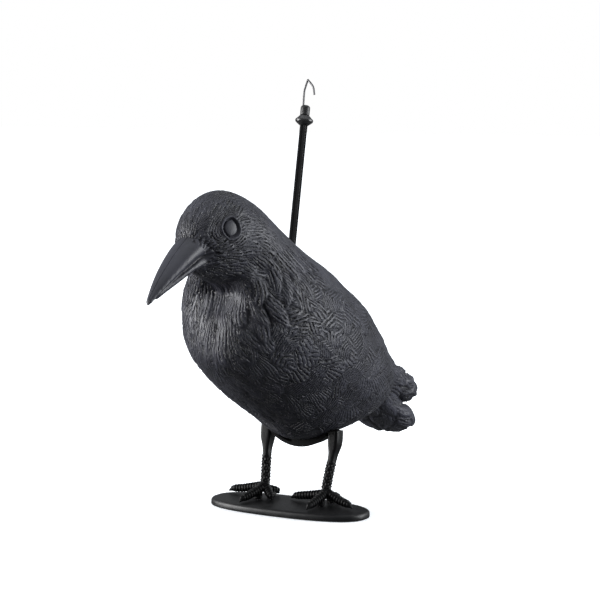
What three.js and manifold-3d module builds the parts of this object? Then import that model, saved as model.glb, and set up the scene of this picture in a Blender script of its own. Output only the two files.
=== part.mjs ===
// Crow decoy standing on an oval foot plate, with a lift-out hanging rod and a swivelling wire hook.
// Millimetres, +Z up. The origin is the centre of the foot plate's underside.
// The bird faces -Y, so +X is its left side. "Forward" means towards -Y.
// Heights of the bird, its legs and its rod are measured from a level STAND above the plate's underside.
import * as THREE from "three";
import { mergeVertices } from "three/addons/utils/BufferGeometryUtils.js";
import Module from "manifold-3d";

const wasm = await Module();
wasm.setup();

// ---------------------------------------------------------------- driving dimensions
const GAP = 0.35; // clearance between pieces that touch or slide
const SEAM = 0.3; // between the two moulded halves
const WALL = 2.2; // skin of the moulded halves

const PLATE_LENGTH = 123; // across the bird
const PLATE_DEPTH = 50; // fore and aft
const PLATE_THICK = 5;
const PLATE_BEVEL = 1.2;
const STAND = 2;

const LEG_SPACING = 50; // between the ankles
const ANKLE_BACK = 9; // ankles behind the plate's centre
const ANKLE_HEIGHT = 15;
const HIP_SPACING = 55; // between the leg tops
const HIP_BACK = 18;
const HIP_HEIGHT = 55; // top of the legs
const HIP_WIDE = 8;
const HIP_DEEP = 10;
const TARSUS = 6.6; // thickness of the scaly part
const TOE = 5.6; // thickness of a toe at the ankle

const SADDLE_LOW = 41.5; // underside of the saddle between the legs
const SADDLE_SKIN = 2.5; // below the belly
const SADDLE_DEEP = 12; // fore and aft
const SADDLE_BAND = 2.4; // thickness of the saddle under its open pocket
const PEG = 3.2; // saddle pegs in the leg tops
const PEG_REACH = 3.2;

const SCREW = 2.6; // self-tapping screws
const SCREW_HEAD = 5.2;
const SCREW_HEAD_HIGH = 1.3;
const FOOT_SCREW_LONG = 10;
const CRADLE_SCREW_LONG = 9;
const CRADLE_SCREW_OUT = 11; // from the middle plane
const BOSS = 7; // screw bosses inside the body

const ROD = 5.4; // across the ribs
const ROD_RIB = 1.8;
const ROD_LEAN = 11.3; // degrees, top towards the tail
const ROD_BACK = -33.5; // where the rod's line meets the level that heights start from, fore and aft
const ROD_FOOT = 88; // lower end, measured along the rod's line
const COLLAR_AT = 277.5; // middle of the collar, along the rod's line
const COLLAR = 12.6;
const COLLAR_HIGH = 7;
const NECK = 2.6; // turned neck that carries the cap
const NECK_HEAD = 4;
const NECK_HEAD_HIGH = 1.2;
const CAP = 6.7;
const CAP_HIGH = 7.2;
const CAP_SOLID = 3.6; // above the neck's pocket
const WIRE = 1.4;
const WIRE_OFFSET = 1.9; // hook shank from the rod's line
const WIRE_DEPTH = 2.6; // of wire in the cap
const HOOK_HIGH = 18; // above the cap
const HOOK_MOUTH = 8; // shank to tip, middle to middle

const GUIDE_WALL = 1.9; // sleeve for the rod inside the body
const GUIDE_FLOOR = 3;
const GUIDE_TOP = 178; // along the rod's line
const RIB = 3; // ribs that hold the sleeve
const RIB_WIDE = 15;

const BEAK_TIP = [176.5, 160.5]; // forward, up
const EYE = [19.8, 107.5, 206]; // left, forward, up
// Toe tips from the ankle, outward and back, and how high each toe arches. The feet aren't mirrored.
const TOES_LEFT = [
  { tip: [-30, 2], rise: 0.9 },
  { tip: [-1, -27], rise: 1 },
  { tip: [25, -8], rise: 1 },
  { tip: [2, 15], rise: 0.8 },
];
const TOES_RIGHT = [
  { tip: [29, 4], rise: 0.9 },
  { tip: [3.4, -28], rise: 1 },
  { tip: [-12, -11], rise: 1 },
  { tip: [-5, 11], rise: 0.8 },
];
const SCREW_ON_FRONT_TOE = 8.5; // from the ankle
const SCREW_ON_BACK_TOE = 5.5;
const EYE_LONG = 12;
const EYE_TALL = 14;

// The bird's middle plane, from the face to the tail's tip. crest and keel are [forward, up].
// half is the half width, sharp how pointed the keel side is (0 round).
const BIRD = [
  { crest: [130, 203], keel: [121, 177], half: 9, sharp: 0 },
  { crest: [124, 212], keel: [108, 172], half: 18, sharp: 0 },
  { crest: [111, 223], keel: [97, 168], half: 24, sharp: 0.1 },
  { crest: [92, 229], keel: [90, 164], half: 27.5, sharp: 0.2 },
  { crest: [71, 223], keel: [87.5, 159], half: 31, sharp: 0.3 },
  { crest: [50, 210], keel: [91, 152], half: 35, sharp: 0.3 },
  { crest: [29, 196], keel: [97.5, 141], half: 42, sharp: 0.3 },
  { crest: [8, 184], keel: [98.5, 129], half: 48, sharp: 0.3 },
  { crest: [-15, 173], keel: [93, 113], half: 53, sharp: 0.2 },
  { crest: [-38, 158], keel: [77, 98], half: 56.5, sharp: 0.1 },
  { crest: [-60, 143], keel: [52.5, 81], half: 57.5, sharp: 0 },
  { crest: [-82, 124], keel: [23, 63.5], half: 55.5, sharp: 0.15 },
  { crest: [-101, 106], keel: [-7, 48], half: 49, sharp: 0.45 },
  { crest: [-116, 89], keel: [-43, 52], half: 36, sharp: 0.5 },
  { crest: [-128, 75], keel: [-77, 63], half: 25, sharp: 0.2 },
  { crest: [-139, 63], keel: [-112, 50], half: 22, sharp: 0 },
  { crest: [-152, 55], keel: [-138, 36], half: 23, sharp: 0 },
  { crest: [-163, 48], keel: [-155, 31], half: 19, sharp: 0 },
  { crest: [-171, 41], keel: [-168, 33], half: 9, sharp: 0 },
];

// The folded left wing from the shoulder to its tip over the tail: [left, forward, up], half size.
const WING = [
  { at: [33, 20, 148], out: 8, tall: 12 },
  { at: [38, -5, 137], out: 11, tall: 19 },
  { at: [36.5, -32, 120.5], out: 11, tall: 20 },
  { at: [29.5, -62, 104], out: 10.5, tall: 17 },
  { at: [23.5, -90, 90], out: 9, tall: 14 },
  { at: [19, -113, 80], out: 9, tall: 11.5 },
  { at: [16.5, -134, 72.5], out: 10, tall: 10.5 },
  { at: [13.5, -151, 66], out: 9.5, tall: 9.5 },
  { at: [11.5, -163, 61], out: 6, tall: 6.5 },
];

// ---------------------------------------------------------------- solids
function solidOf(geometry) {
  const bare = geometry.index ? geometry.toNonIndexed() : geometry.clone();
  bare.deleteAttribute("normal");
  bare.deleteAttribute("uv");
  const merged = mergeVertices(bare, 1e-3);
  const made = new wasm.Manifold(
    new wasm.Mesh({
      numProp: 3,
      vertProperties: new Float32Array(merged.attributes.position.array),
      triVerts: new Uint32Array(merged.index.array),
    }),
  );
  if (made.volume() <= 0) throw new Error("a solid is inside out");
  return made;
}

function geometryOf(solid) {
  const out = solid.getMesh();
  const geometry = new THREE.BufferGeometry();
  geometry.setAttribute("position", new THREE.BufferAttribute(new Float32Array(out.vertProperties), 3));
  geometry.setIndex(new THREE.BufferAttribute(new Uint32Array(out.triVerts), 1));
  return geometry;
}

function mirrored(solid) {
  return solid.mirror([1, 0, 0]);
}

// Closed skin through rings of points, each ring counter-clockwise seen from the last ring's side.
function loft(rings) {
  const points = rings.flat();
  const around = rings[0].length;
  const index = [];
  for (let r = 0; r + 1 < rings.length; r++) {
    for (let k = 0; k < around; k++) {
      const a = r * around + k;
      const b = r * around + ((k + 1) % around);
      index.push(a, b, a + around, b, b + around, a + around);
    }
  }
  for (const [start, last] of [[0, false], [(rings.length - 1) * around, true]]) {
    const middle = points.length;
    const centre = new THREE.Vector3();
    for (let k = 0; k < around; k++) centre.add(points[start + k]);
    points.push(centre.divideScalar(around));
    for (let k = 0; k < around; k++) {
      const a = start + k;
      const b = start + ((k + 1) % around);
      index.push(...(last ? [middle, a, b] : [middle, b, a]));
    }
  }
  const geometry = new THREE.BufferGeometry().setFromPoints(points);
  geometry.setIndex(index);
  return solidOf(geometry);
}

function box(wide, deep, high) {
  return solidOf(new THREE.BoxGeometry(wide, deep, high));
}

// Upright turned piece; the profile is [radius, height] and starts and ends on the axis.
function turned(profile, sides = 24) {
  const points = profile.map(([r, z]) => new THREE.Vector2(r, z));
  return solidOf(new THREE.LatheGeometry(points, sides).rotateX(Math.PI / 2));
}

function pin(across, from, to, sides = 20) {
  return turned([[0, from], [across / 2, from], [across / 2, to], [0, to]], sides);
}

// Smooth curve through evenly spaced values.
function smooth(values, t) {
  const last = values.length - 1;
  const i = Math.min(Math.floor(t), last - 1);
  const at = (k) => values[Math.max(0, Math.min(last, k))];
  const u = t - i;
  const [a, b, c, d] = [at(i - 1), at(i), at(i + 1), at(i + 2)];
  return 0.5 * (2 * b + (c - a) * u + (2 * a - 5 * b + 4 * c - d) * u * u + (3 * b - a - 3 * c + d) * u ** 3);
}

// Point on a rounded outline: power 2 is an ellipse, larger is squarer.
function onOutline(turn, a, b, power = 2) {
  const c = Math.cos(turn);
  const s = Math.sin(turn);
  return [a * Math.sign(c) * Math.abs(c) ** (2 / power), b * Math.sign(s) * Math.abs(s) ** (2 / power)];
}

// Limb of flattened rings along a path. Stations: at [x, y, z], wide and deep half sizes, power.
function limb(stations, sides, steps, side = [1, 0, 0], from = 0, to = stations.length - 1) {
  const last = stations.length - 1;
  const rings = [];
  const spot = (t) => new THREE.Vector3(...[0, 1, 2].map((k) => smooth(stations.map((s) => s.at[k]), t)));
  for (let j = 0; j <= steps; j++) {
    const t = from + (j / steps) * (to - from);
    const pick = (name) => smooth(stations.map((s) => s[name]), t);
    const ahead = spot(Math.min(last, t + 0.01)).sub(spot(Math.max(0, t - 0.01))).normalize();
    const wide = new THREE.Vector3(...side);
    wide.addScaledVector(ahead, -wide.dot(ahead)).normalize();
    const deep = ahead.clone().cross(wide);
    const ring = [];
    for (let k = 0; k < sides; k++) {
      const [u, v] = onOutline((k / sides) * 2 * Math.PI, pick("wide"), pick("deep"), pick("power"));
      ring.push(spot(t).addScaledVector(wide, u).addScaledVector(deep, v));
    }
    rings.push(ring);
  }
  return loft(rings);
}

// ---------------------------------------------------------------- placing along the rod's line
const lean = THREE.MathUtils.degToRad(ROD_LEAN);
const rodFrame = new THREE.Matrix4()
  .makeTranslation(0, ROD_BACK, 0)
  .multiply(new THREE.Matrix4().makeRotationX(-lean));
function placed(solid, matrix) {
  return solid.transform(matrix.elements);
}
function onRod(solid) {
  return placed(solid, rodFrame);
}

// ---------------------------------------------------------------- body: skin, beak, eyes, wings
const lastStation = BIRD.length - 1;
const SKIN_STEPS = 30;
const SKIN_SIDES = 28;
function birdRing(t, grow, around) {
  const pick = (f) => smooth(BIRD.map(f), t);
  const crest = new THREE.Vector2(pick((s) => s.crest[0]), pick((s) => s.crest[1]));
  const keel = new THREE.Vector2(pick((s) => s.keel[0]), pick((s) => s.keel[1]));
  const half = pick((s) => s.half) + grow;
  const sharp = pick((s) => s.sharp);
  const centre = crest.clone().add(keel).multiplyScalar(0.5);
  const up = crest.clone().sub(keel).multiplyScalar(0.5);
  const reach = up.length() + grow;
  up.normalize();
  const ring = [];
  for (let k = 0; k < around; k++) {
    const turn = (k / around) * 2 * Math.PI;
    const rise = Math.cos(turn);
    const low = Math.max(0, -rise);
    const across = half * Math.sin(turn) * (1 - 0.6 * sharp * low * low);
    ring.push(new THREE.Vector3(across, -(centre.x + up.x * reach * rise), centre.y + up.y * reach * rise));
  }
  return ring;
}

function birdSolid(grow, from, to, steps, around) {
  const rings = [];
  for (let k = 0; k <= steps; k++) rings.push(birdRing(from + (k / steps) * (to - from), grow, around));
  return loft(rings);
}

// Half of the beak: upper and lower edges run from the face to the tip.
function mandible(top, bottom, half) {
  const rings = [];
  const steps = 9;
  const part = (line, i, t) => smooth(line.map((p) => p[i]), t);
  const bend = (line, t) => new THREE.Vector2(part(line, 0, t), part(line, 1, t));
  for (let j = 0; j <= steps; j++) {
    const t = (j / steps) * (top.length - 1);
    const high = bend(top, t);
    const low = bend(bottom, t);
    const wide = smooth(half, t);
    const centre = high.clone().add(low).multiplyScalar(0.5);
    const up = high.clone().sub(low).multiplyScalar(0.5);
    const ring = [];
    for (let k = 0; k < 16; k++) {
      const [rise, side] = onOutline((k / 16) * 2 * Math.PI, 1, wide);
      ring.push(new THREE.Vector3(side, -(centre.x + up.x * rise), centre.y + up.y * rise));
    }
    rings.push(ring);
  }
  return loft(rings.reverse());
}

const [tipOut, tipUp] = BEAK_TIP;
const upperBeak = mandible(
  [[108, 209], [132, 200], [156, 183.5], [tipOut - 0.5, tipUp + 4.5]],
  [[112, 188], [133, 184], [156, 173.5], [tipOut + 0.5, tipUp]],
  [12, 11, 7.5, 1.8],
);
const lowerBeak = mandible(
  [[106, 192], [128, 188], [150, 178.5], [tipOut - 8, tipUp + 6]],
  [[104, 181], [130, 178.5], [150, 171], [tipOut - 9, tipUp + 3]],
  [10, 9.2, 6, 1.4],
);

const eye = solidOf(new THREE.SphereGeometry(0.5, 14, 10).rotateZ(Math.PI / 2))
  .scale([7, EYE_LONG, EYE_TALL])
  .rotate([0, 14, -14])
  .translate([EYE[0], -EYE[1], EYE[2]]);

function wingShape(inset, from, to, steps, sides) {
  const path = WING.map(({ at: [x, forward, up], out, tall }) => ({
    at: [x, -forward, up],
    wide: out - inset,
    deep: tall - inset,
    power: 2.2,
  }));
  return limb(path, sides, steps, [1, 0, 0], from, to);
}
const wing = wingShape(0, 0, WING.length - 1, 14, 16);

const skin = birdSolid(0, 0, lastStation, SKIN_STEPS, SKIN_SIDES)
  .add(upperBeak)
  .add(lowerBeak)
  .add(eye)
  .add(mirrored(eye))
  .add(wing)
  .add(mirrored(wing));
const wingRoom = wingShape(WALL, 0.4, WING.length - 2, 8, 10);
const hollow = birdSolid(-WALL, 1.2, 15.6, 24, 20).add(wingRoom).add(mirrored(wingRoom));

// ---------------------------------------------------------------- legs, cradle and plate
const hipX = HIP_SPACING / 2;
const ankleX = LEG_SPACING / 2;
const saddleEndX = hipX - HIP_WIDE / 2 - GAP;
const pegUp = HIP_HEIGHT - 3;
const saddleRise = pegUp - 1 - SADDLE_LOW;
const saddleRadius = (saddleEndX ** 2 + saddleRise ** 2) / (2 * saddleRise);
const saddleCentreUp = SADDLE_LOW + saddleRadius;

// Screws stand on the middle front toe and on the back toe.
function screwSpots(toeTips) {
  return [
    [toeTips[1].tip, SCREW_ON_FRONT_TOE],
    [toeTips[3].tip, SCREW_ON_BACK_TOE],
  ].map(([[x, y], reach]) => {
    const share = reach / Math.hypot(x, y);
    return [ankleX + x * share, ANKLE_BACK + y * share];
  });
}

// A left leg with the given toes; the right one is this mirrored.
function legShape(toeTips) {
  const shank = limb(
    [
      { at: [hipX, HIP_BACK, HIP_HEIGHT], wide: HIP_WIDE / 2, deep: HIP_DEEP / 2, power: 5 },
      { at: [hipX, HIP_BACK - 1, HIP_HEIGHT - 9], wide: HIP_WIDE / 2, deep: HIP_DEEP / 2, power: 5 },
      { at: [hipX - 0.6, HIP_BACK - 3, HIP_HEIGHT - 18], wide: 2.9, deep: 3.9, power: 3 },
      { at: [ankleX + 1, ANKLE_BACK + 3, ANKLE_HEIGHT + 12], wide: TARSUS / 2, deep: TARSUS / 2, power: 2 },
      { at: [ankleX, ANKLE_BACK, ANKLE_HEIGHT], wide: TARSUS / 2, deep: TARSUS / 2, power: 2 },
      { at: [ankleX, ANKLE_BACK - 1, PLATE_THICK - STAND + 4], wide: TARSUS / 2, deep: TARSUS / 2, power: 2 },
    ],
    16,
    11,
  );
  const toeFloor = PLATE_THICK - STAND + GAP;
  const toes = toeTips.map(({ tip, rise }) => {
    const [x, y] = tip;
    const path = [0, 0.35, 0.7, 1].map((f, i) => ({
      at: [
        ankleX + x * f,
        ANKLE_BACK + y * f,
        toeFloor + [(ANKLE_HEIGHT - PLATE_THICK + STAND) * 0.72 * rise, 5.6 * rise, 3, 1.3][i],
      ],
      wide: (TOE / 2) * [1, 0.92, 0.8, 0.42][i],
      deep: (TOE / 2) * [1, 0.92, 0.8, 0.42][i],
      power: 2,
    }));
    return limb(path, 8, 6, [-y, x, 0]);
  });
  const pads = screwSpots(toeTips).map(([x, y]) => pin(6.4, toeFloor, toeFloor + 6, 14).translate([x, y, 0]));
  let leg = shank;
  for (const piece of [...toes, ...pads]) leg = leg.add(piece);
  leg = leg.trimByPlane([0, 0, 1], toeFloor);
  for (const [x, y] of screwSpots(toeTips)) {
    leg = leg.subtract(pin(SCREW + 2 * GAP, -1, FOOT_SCREW_LONG - STAND + 1.8, 14).translate([x, y, 0]));
  }
  const socket = pin(PEG + 2 * GAP, saddleEndX - 1, saddleEndX + GAP + PEG_REACH + GAP, 20);
  return leg.subtract(socket.rotate([0, 90, 0]).translate([0, HIP_BACK, pegUp]));
}
// Room in the body for the leg's top.
const hipRoom = limb(
  [HIP_HEIGHT + GAP, HIP_HEIGHT - 5, HIP_HEIGHT - 12].map((up, i) => ({
    at: [hipX, HIP_BACK - i * 0.6, up],
    wide: HIP_WIDE / 2 + GAP,
    deep: HIP_DEEP / 2 + GAP,
    power: 5,
  })),
  20,
  2,
);
const legLeft = legShape(TOES_LEFT);
const legRight = mirrored(legShape(TOES_RIGHT));
const footScrewSpots = {
  left: screwSpots(TOES_LEFT),
  right: screwSpots(TOES_RIGHT).map(([x, y]) => [-x, y]),
};

// Saddle between the leg tops: round below, carved to the belly above.
function saddleShape() {
  const disc = new THREE.CylinderGeometry(saddleRadius, saddleRadius, SADDLE_DEEP, 72);
  return solidOf(disc)
    .translate([0, HIP_BACK, saddleCentreUp])
    .trimByPlane([1, 0, 0], -saddleEndX)
    .trimByPlane([-1, 0, 0], -saddleEndX)
    .trimByPlane([0, 0, -1], -pegUp - PEG / 2 - 0.6);
}

const screwLean = THREE.MathUtils.radToDeg(Math.asin(CRADLE_SCREW_OUT / saddleRadius));
function onSaddle(solid) {
  return solid
    .translate([0, 0, -saddleRadius])
    .rotate([0, -screwLean, 0])
    .translate([0, HIP_BACK, saddleCentreUp]);
}

const peg = pin(PEG, saddleEndX - 2.5, saddleEndX + GAP + PEG_REACH, 20)
  .rotate([0, 90, 0])
  .translate([0, HIP_BACK, pegUp]);
const sunk = SCREW_HEAD_HIGH + 0.4;
const saddleHole = onSaddle(
  pin(SCREW + 2 * GAP, -6, 12, 16).add(pin(SCREW_HEAD + 2.3 * GAP, -6, sunk, 16)),
);
// Pocket open to the front between the saddle's band and the belly, on the right.
const pocketDepth = SADDLE_DEEP / 2 - SCREW / 2 - GAP - 0.8;
const pocketRadius = saddleRadius - SADDLE_BAND;
const pocket = solidOf(new THREE.CylinderGeometry(pocketRadius, pocketRadius, pocketDepth, 72))
  .translate([0, HIP_BACK - SADDLE_DEEP / 2 + pocketDepth / 2 - 0.01, saddleCentreUp])
  .trimByPlane([1, 0, 0], -saddleEndX + 2)
  .trimByPlane([-1, 0, 0], 5);
const cradle = saddleShape()
  .add(peg)
  .add(mirrored(peg))
  .subtract(birdSolid(GAP + 0.4, 0, lastStation, SKIN_STEPS, SKIN_SIDES))
  .subtract(saddleHole)
  .subtract(mirrored(saddleHole))
  .subtract(pocket);

function screwShape(long) {
  const head = SCREW_HEAD / 2;
  const stem = SCREW / 2;
  return turned(
    [
      [0, 0],
      [head - 0.4, 0],
      [head, 0.4],
      [head, SCREW_HEAD_HIGH],
      [stem, SCREW_HEAD_HIGH],
      [stem, long - 1.2],
      [0, long],
    ],
    14,
  );
}
const headRoom = SCREW_HEAD_HIGH + 0.4;

const plateRings = [
  [0, PLATE_BEVEL],
  [PLATE_BEVEL * 0.7, 0],
  [PLATE_THICK - PLATE_BEVEL, 0],
  [PLATE_THICK, PLATE_BEVEL],
].map(([up, inset]) => {
  const ring = [];
  for (let k = 0; k < 44; k++) {
    const [x, y] = onOutline((k / 44) * 2 * Math.PI, PLATE_LENGTH / 2 - inset, PLATE_DEPTH / 2 - inset, 2.5);
    ring.push(new THREE.Vector3(x, y, up));
  }
  return ring;
});
let plate = loft(plateRings);
for (const [x, y] of [...footScrewSpots.left, ...footScrewSpots.right]) {
  plate = plate
    .subtract(pin(SCREW + 2 * GAP, -1, PLATE_THICK + 1, 14).translate([x, y, 0]))
    .subtract(pin(SCREW_HEAD + 2.3 * GAP, -1, headRoom, 16).translate([x, y, 0]));
}

// ---------------------------------------------------------------- rod, sleeve, cap and hook
const arm = box(ROD, ROD_RIB, COLLAR_AT - ROD_FOOT).translate([0, 0, (COLLAR_AT + ROD_FOOT) / 2]);
const collarLow = COLLAR_AT - COLLAR_HIGH / 2;
const collarTop = COLLAR_AT + COLLAR_HIGH / 2;
const capLow = collarTop + GAP;
const pocketTop = capLow + CAP_HIGH - CAP_SOLID;
const headTop = pocketTop - GAP;
const headLow = headTop - NECK_HEAD_HIGH;
const collarAndNeck = turned([
  [0, collarLow],
  [ROD / 2, collarLow],
  [COLLAR / 2 - 1, COLLAR_AT - 1.6],
  [COLLAR / 2, COLLAR_AT - 0.4],
  [COLLAR / 2, COLLAR_AT + 0.6],
  [COLLAR / 2 - 1, COLLAR_AT + 1.7],
  [CAP / 2 + 0.2, collarTop],
  [NECK / 2, collarTop],
  [NECK / 2, headLow],
  [NECK_HEAD / 2, headLow],
  [NECK_HEAD / 2 - 0.4, headTop],
  [0, headTop],
]);
const cross = arm.add(arm.rotate([0, 0, 90])).intersect(pin(ROD, ROD_FOOT, COLLAR_AT, 32));
const rod = onRod(cross.rotate([0, 0, 45]).add(collarAndNeck));

const pocketLow = headLow - GAP;
const capTop = capLow + CAP_HIGH;
const capShape = turned([
  [0, pocketTop],
  [NECK_HEAD / 2 + GAP, pocketTop],
  [NECK_HEAD / 2 + GAP, pocketLow],
  [NECK / 2 + GAP, pocketLow],
  [NECK / 2 + GAP, capLow],
  [CAP / 2, capLow],
  [CAP / 2, capTop - 1.8],
  [CAP / 2 - 0.7, capTop - 0.6],
  [CAP / 2 - 1.9, capTop],
  [0, capTop],
]);
const wireHole = pin(WIRE + 2 * GAP, capTop - WIRE_DEPTH - GAP, capTop + 2, 16)
  .translate([-WIRE_OFFSET, 0, 0]);
const cap = onRod(capShape.subtract(wireHole));

// Hook wire: shank, pointed top on the rod's line, free end on the other side.
const hookTop = capTop + HOOK_HIGH;
const hookPath = new THREE.CatmullRomCurve3(
  [
    [-WIRE_OFFSET, capTop - WIRE_DEPTH],
    [-WIRE_OFFSET, capTop],
    [-WIRE_OFFSET - 0.3, hookTop - 9],
    [-WIRE_OFFSET + 0.2, hookTop - 5.5],
    [-0.35, hookTop - 0.6],
    [0.35, hookTop - 0.6],
    [HOOK_MOUTH - WIRE_OFFSET - 1.6, hookTop - 5],
    [HOOK_MOUTH - WIRE_OFFSET, hookTop - 10.5],
  ].map(([x, z]) => new THREE.Vector3(x, 0, z)),
  false,
  "catmullrom",
  0.35,
);
const wireSection = new THREE.Shape();
wireSection.absarc(0, 0, WIRE / 2, 0, 2 * Math.PI);
const hookBar = new THREE.ExtrudeGeometry(wireSection, {
  steps: 32,
  extrudePath: hookPath,
  bevelEnabled: false,
  curveSegments: 4,
});
const hook = onRod(solidOf(hookBar));

const bore = ROD + 2 * GAP;
const sleeve = bore + 2 * GUIDE_WALL;
const guideLow = ROD_FOOT - GAP - GUIDE_FLOOR;
const guide = onRod(
  pin(sleeve, guideLow, GUIDE_TOP, 24).subtract(pin(bore, ROD_FOOT - GAP, GUIDE_TOP + 1, 24)),
);

// ---------------------------------------------------------------- the two moulded halves
const guideRoom = onRod(pin(sleeve + 2 * GAP, guideLow - GAP, GUIDE_TOP + GAP, 24));
const rodRoom = onRod(pin(bore, GUIDE_TOP - 5, GUIDE_TOP + 40, 24));
const ribAt = (along) => onRod(box(140, RIB_WIDE, RIB).translate([0, 0, along]));
const ribs = ribAt(guideLow + 12).add(ribAt(GUIDE_TOP - 22));
const bossPin = onSaddle(pin(BOSS, SADDLE_SKIN, CRADLE_SCREW_LONG + 3.5, 18));
const bossRod = bossPin.add(mirrored(bossPin));
const bossHole = onSaddle(pin(SCREW + 2 * GAP, -3, CRADLE_SCREW_LONG + 1.2, 16));
// The skin folds inwards at the throat, so the hollow stays clear of it there.
const throat = box(64, 14, 28).translate([0, -88, 157]);
const inner = hollow.subtract(ribs).subtract(bossRod).subtract(throat);
const body = skin
  .subtract(inner)
  .subtract(guideRoom)
  .subtract(rodRoom)
  .subtract(hipRoom)
  .subtract(mirrored(hipRoom))
  .subtract(bossHole)
  .subtract(mirrored(bossHole));
const shellLeft = body.trimByPlane([1, 0, 0], SEAM / 2);
const shellRight = body.trimByPlane([-1, 0, 0], SEAM / 2);

// ---------------------------------------------------------------- the assembly
const bodyPlastic = { color: 0x2a2c31, roughness: 0.55, metalness: 0 };
const legPlastic = { color: 0x17171a, roughness: 0.42, metalness: 0 };
const rodPlastic = { color: 0x1a1a1d, roughness: 0.3, metalness: 0 };
const innerPlastic = { color: 0x35363a, roughness: 0.6, metalness: 0 };
const wireSteel = { color: 0x4a4a4e, roughness: 0.35, metalness: 1 };
const screwSteel = { color: 0x9a9ca0, roughness: 0.3, metalness: 1 };

const decoy = new THREE.Group();
decoy.name = "crow_decoy";
function add(name, solid, look, rise = STAND) {
  const geometry = geometryOf(solid.translate([0, 0, rise]));
  const mesh = new THREE.Mesh(geometry, new THREE.MeshStandardMaterial(look));
  mesh.name = name;
  decoy.add(mesh);
}

add("shell_left", shellLeft, bodyPlastic);
add("shell_right", shellRight, bodyPlastic);
add("rod_guide", guide, innerPlastic);
add("cradle", cradle, legPlastic);
add("leg_left", legLeft, legPlastic);
add("leg_right", legRight, legPlastic);
add("base_plate", plate, legPlastic, 0);
const footScrew = screwShape(FOOT_SCREW_LONG).translate([0, 0, headRoom - SCREW_HEAD_HIGH - GAP]);
["front", "rear"].forEach((place, i) => {
  add(`foot_screw_left_${place}`, footScrew.translate([...footScrewSpots.left[i], 0]), screwSteel, 0);
  add(`foot_screw_right_${place}`, footScrew.translate([...footScrewSpots.right[i], 0]), screwSteel, 0);
});
const cradleScrew = onSaddle(
  screwShape(CRADLE_SCREW_LONG).translate([0, 0, sunk - SCREW_HEAD_HIGH - GAP]),
);
add("cradle_screw_left", mirrored(cradleScrew), screwSteel);
add("cradle_screw_right", cradleScrew, screwSteel);
add("hanging_rod", rod, rodPlastic);
add("swivel_cap", cap, legPlastic);
add("wire_hook", hook, wireSteel);

export default decoy;
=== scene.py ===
import math

import bmesh
import bpy
import numpy as np
from mathutils import Matrix, Vector
from mathutils.kdtree import KDTree


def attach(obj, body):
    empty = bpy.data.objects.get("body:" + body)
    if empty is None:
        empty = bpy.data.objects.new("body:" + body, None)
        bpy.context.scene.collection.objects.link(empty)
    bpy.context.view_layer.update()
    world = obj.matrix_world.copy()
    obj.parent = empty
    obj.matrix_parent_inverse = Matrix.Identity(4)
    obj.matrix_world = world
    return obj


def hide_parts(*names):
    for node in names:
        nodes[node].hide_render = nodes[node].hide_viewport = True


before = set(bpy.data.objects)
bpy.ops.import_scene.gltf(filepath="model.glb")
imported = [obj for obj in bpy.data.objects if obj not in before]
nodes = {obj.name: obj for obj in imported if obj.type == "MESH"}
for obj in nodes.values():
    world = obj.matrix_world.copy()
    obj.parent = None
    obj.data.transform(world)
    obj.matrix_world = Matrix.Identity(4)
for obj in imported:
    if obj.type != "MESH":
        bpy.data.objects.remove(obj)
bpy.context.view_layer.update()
mm = 0.001  # the tables below are in millimetres: x to the bird's left, forward is -y, z up
standHigh = 2.0  # all but the foot plate is drawn this much too low, and raised when it is finished
chance = np.random.default_rng(7)
print("frame loaded:", len(nodes), "nodes")


# Helpers for shapes
def smoothAlong(values, t):
    values = np.asarray(values, float)
    t = np.asarray(t, float)
    last = len(values) - 1
    i = np.clip(np.floor(t).astype(int), 0, last - 1)
    u = t - i
    if values.ndim > 1:
        u = u[..., None]
    a, b, c, d = (values[np.clip(i + k, 0, last)] for k in (-1, 0, 1, 2))
    return 0.5 * (2 * b + (c - a) * u + (2 * a - 5 * b + 4 * c - d) * u**2 + (3 * b - a - 3 * c + d) * u**3)


def onOutline(turn, a, b, power):
    c, s = np.cos(turn), np.sin(turn)
    return a * np.sign(c) * np.abs(c) ** (2 / power), b * np.sign(s) * np.abs(s) ** (2 / power)


def ease(x):
    x = np.clip(x, 0, 1)
    return x * x * (3 - 2 * x)


def unit(v):
    return v / np.maximum(np.linalg.norm(v, axis=-1, keepdims=True), 1e-9)


def loftMesh(rings):  # closed skin over rings[n, m, 3], with a fan at each end
    n, m = rings.shape[:2]
    a = np.arange(n - 1)[:, None] * m + np.arange(m)
    b = np.arange(n - 1)[:, None] * m + (np.arange(m) + 1) % m
    faces = np.stack([a, b, b + m, a + m], -1).reshape(-1, 4).tolist()
    points = np.vstack([rings.reshape(-1, 3), rings[0].mean(0), rings[-1].mean(0)])
    for k in range(m):
        faces.append([n * m, (k + 1) % m, k])
        faces.append([n * m + 1, (n - 1) * m + k, (n - 1) * m + (k + 1) % m])
    return points, faces


def turnedMesh(profile, sides=64):  # profile of [radius, height], starting and ending on the axis
    turns = np.arange(sides) / sides * 2 * math.pi
    inner = np.array(profile[1:-1], float)
    rings = np.stack([
        np.stack([r * np.cos(turns), r * np.sin(turns), np.full(sides, z)], 1) for r, z in inner
    ])
    points, faces = loftMesh(rings)
    points[-2] = (0, 0, profile[0][1])
    points[-1] = (0, 0, profile[-1][1])
    return points, faces


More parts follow.
